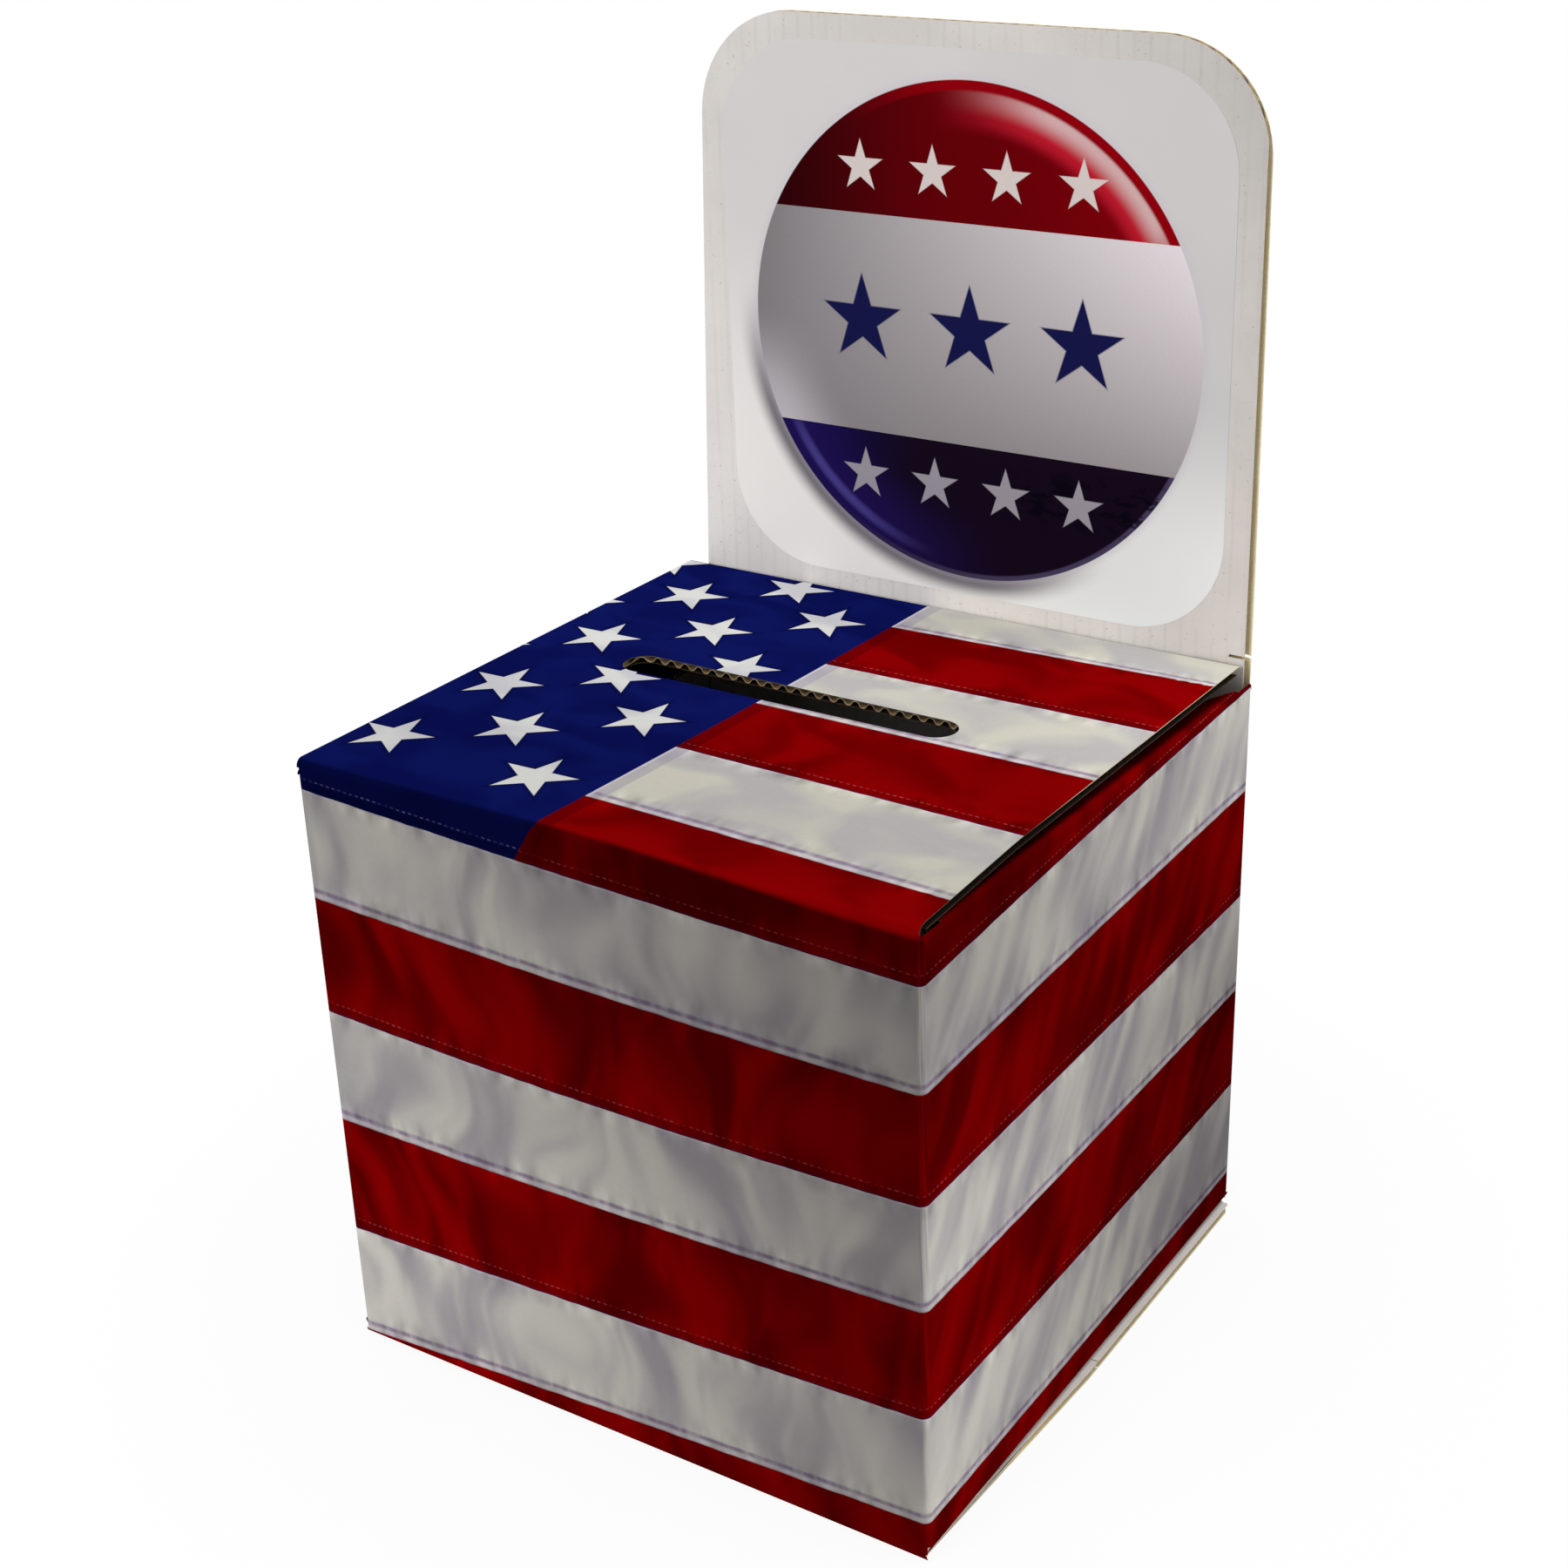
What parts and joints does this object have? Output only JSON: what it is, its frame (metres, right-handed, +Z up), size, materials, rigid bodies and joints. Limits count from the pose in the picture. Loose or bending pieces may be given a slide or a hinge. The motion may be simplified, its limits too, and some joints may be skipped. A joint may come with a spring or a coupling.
{
  "type": "ballot box",
  "caption": "Folded corrugated ballot box with a flag-striped wrap, a front-hinged slotted lid and a tall rounded header with a round badge label.",
  "frame": {"origin": "middle of the footprint, on the surface that the box stands on", "axes": "+X to the right along the front wall, +Y from the front wall to the header, +Z up"},
  "size_m": [0.31, 0.299, 0.564],
  "materials": {
    "printed_wall_liner": "satin",
    "printed_lid_liner": "satin",
    "white_inner_liner": "matte",
    "kraft_medium": "matte",
    "label_print": "satin"
  },
  "bodies": {
    "box_body": {"front_wall_outer_liner": "printed_wall_liner", "front_wall_flutes": "kraft_medium", "front_wall_inner_liner": "white_inner_liner", "right_wall_outer_liner": "printed_wall_liner", "right_wall_flutes": "kraft_medium", "right_wall_inner_liner": "white_inner_liner", "left_wall_outer_liner": "printed_wall_liner", "left_wall_flutes": "kraft_medium", "left_wall_inner_liner": "white_inner_liner", "back_wall_outer_liner": "printed_wall_liner", "back_wall_flutes": "kraft_medium", "back_wall_inner_liner": "white_inner_liner", "seam_tab_outer_liner": "printed_wall_liner", "seam_tab_flutes": "kraft_medium", "seam_tab_inner_liner": "white_inner_liner", "header_label": "label_print"},
    "lid": {"lid_outer_liner": "printed_lid_liner", "lid_flutes": "kraft_medium", "lid_inner_liner": "white_inner_liner"},
    "tuck_flap": {"tuck_flap_outer_liner": "printed_lid_liner", "tuck_flap_flutes": "kraft_medium", "tuck_flap_inner_liner": "white_inner_liner"},
    "right_dust_flap": {"right_dust_flap_outer_liner": "printed_wall_liner", "right_dust_flap_flutes": "kraft_medium", "right_dust_flap_inner_liner": "white_inner_liner"},
    "left_dust_flap": {"left_dust_flap_outer_liner": "printed_wall_liner", "left_dust_flap_flutes": "kraft_medium", "left_dust_flap_inner_liner": "white_inner_liner"},
    "front_bottom_flap": {"front_bottom_flap_outer_liner": "printed_wall_liner", "front_bottom_flap_flutes": "kraft_medium", "front_bottom_flap_inner_liner": "white_inner_liner"},
    "rear_bottom_flap": {"rear_bottom_flap_outer_liner": "printed_wall_liner", "rear_bottom_flap_flutes": "kraft_medium", "rear_bottom_flap_inner_liner": "white_inner_liner"},
    "right_bottom_flap": {"right_bottom_flap_outer_liner": "printed_wall_liner", "right_bottom_flap_flutes": "kraft_medium", "right_bottom_flap_inner_liner": "white_inner_liner"},
    "left_bottom_flap": {"left_bottom_flap_outer_liner": "printed_wall_liner", "left_bottom_flap_flutes": "kraft_medium", "left_bottom_flap_inner_liner": "white_inner_liner"}
  },
  "joints": [
    {"name": "lid_fold", "type": "hinge", "parent": "box_body", "child": "lid", "pos_m": [0, -0.14845, 0.29535], "axis": [1, 0, 0], "range_deg": [0, 110]},
    {"name": "tuck_flap_fold", "type": "hinge", "parent": "lid", "child": "tuck_flap", "pos_m": [0, 0.1443, 0.29008], "axis": [1, 0, 0], "range_deg": [0, 28]},
    {"name": "right_dust_flap_fold", "type": "hinge", "parent": "box_body", "child": "right_dust_flap", "pos_m": [0.15145, 0.14946, 0.28135], "axis": [0, 0.9994, -0.0334], "range_deg": [0, 56]},
    {"name": "left_dust_flap_fold", "type": "hinge", "parent": "box_body", "child": "left_dust_flap", "pos_m": [-0.15145, -0.14954, 0.29135], "axis": [0, -0.9994, 0.0334], "range_deg": [0, 56]},
    {"name": "front_bottom_flap_fold", "type": "hinge", "parent": "box_body", "child": "front_bottom_flap", "pos_m": [0, -0.14845, 0.00105], "axis": [-1, 0, 0], "range_deg": [0, 100]},
    {"name": "rear_bottom_flap_fold", "type": "hinge", "parent": "box_body", "child": "rear_bottom_flap", "pos_m": [0, 0.14845, 0.00105], "axis": [1, 0, 0], "range_deg": [0, 100]},
    {"name": "right_bottom_flap_fold", "type": "hinge", "parent": "box_body", "child": "right_bottom_flap", "pos_m": [0.15145, 0, 0.00505], "axis": [0, -1, 0], "range_deg": [0, 50]},
    {"name": "left_bottom_flap_fold", "type": "hinge", "parent": "box_body", "child": "left_bottom_flap", "pos_m": [-0.15145, 0, 0.00505], "axis": [0, 1, 0], "range_deg": [0, 50]}
  ],
  "couplings": [
    {"joint": "tuck_flap_fold", "follows": "lid_fold", "ratio": 0.25},
    {"joint": "right_dust_flap_fold", "follows": "lid_fold", "ratio": 0.5},
    {"joint": "left_dust_flap_fold", "follows": "lid_fold", "ratio": 0.5},
    {"joint": "rear_bottom_flap_fold", "follows": "front_bottom_flap_fold", "ratio": 1},
    {"joint": "right_bottom_flap_fold", "follows": "front_bottom_flap_fold", "ratio": 0.5},
    {"joint": "left_bottom_flap_fold", "follows": "front_bottom_flap_fold", "ratio": 0.5}
  ]
}
